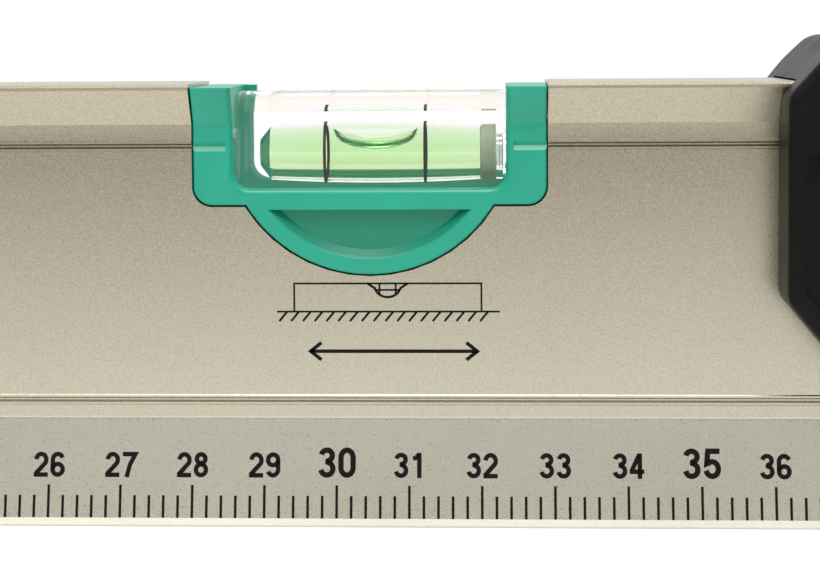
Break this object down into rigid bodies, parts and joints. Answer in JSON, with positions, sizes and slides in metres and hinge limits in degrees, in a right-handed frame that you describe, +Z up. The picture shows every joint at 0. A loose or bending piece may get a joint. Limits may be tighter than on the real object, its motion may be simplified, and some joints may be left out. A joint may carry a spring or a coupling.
{
  "type": "spirit level",
  "caption": "Ruler-type spirit level: hollow aluminium body with a slanted ruler face, green-tinted horizontal and plumb vials, and a plastic handle.",
  "frame": {"origin": "middle of the base, on the surface that the level stands on", "axes": "+X along the body in the direction in which the scale counts up, -Y out of the front face, +Z up"},
  "size_m": [0.61, 0.034, 0.0672],
  "materials": {
    "anodised_aluminium": "satin anodised, warm silver",
    "cap_plastic": "fine grain",
    "holder_plastic": "satin moulded",
    "handle_plastic": "fine spark-eroded grain",
    "screw_steel": "zinc plated",
    "clear_acrylic": "polished clear",
    "vial_liquid": "tinted liquid",
    "bubble_gas": "clear",
    "stopper_plastic": "translucent",
    "plug_plastic": "clear moulded",
    "mark_black": "printed"
  },
  "bodies": {
    "root": {"body_extrusion": "anodised_aluminium", "end_cap_left": "cap_plastic", "end_cap_right": "cap_plastic", "handle_front_shell": "handle_plastic", "handle_rear_shell": "handle_plastic", "handle_screws": "screw_steel", "horizontal_vial_holder": "holder_plastic", "horizontal_vial_liquid": "vial_liquid", "horizontal_vial_marks": "mark_black", "horizontal_vial_plug": "plug_plastic", "horizontal_vial_stopper": "stopper_plastic", "horizontal_vial_tube": "clear_acrylic", "plumb_vial_holder": "holder_plastic", "plumb_vial_liquid": "vial_liquid", "plumb_vial_marks": "mark_black", "plumb_vial_plug": "plug_plastic", "plumb_vial_stopper": "stopper_plastic", "plumb_vial_tube": "clear_acrylic"},
    "horizontal_bubble": {"horizontal_vial_bubble": "bubble_gas"},
    "plumb_bubble": {"plumb_vial_bubble": "bubble_gas"}
  },
  "joints": [
    {"name": "horizontal_bubble_slide", "type": "slide", "parent": "root", "child": "horizontal_bubble", "axis": [1, 0, 0], "range_m": [-0.0082, 0.0082], "stiffness_N_per_m": 0.5},
    {"name": "plumb_bubble_slide", "type": "slide", "parent": "root", "child": "plumb_bubble", "axis": [0, 0, 1], "range_m": [-0.0112, 0], "stiffness_N_per_m": 0.5, "springref_m": 0.02}
  ]
}
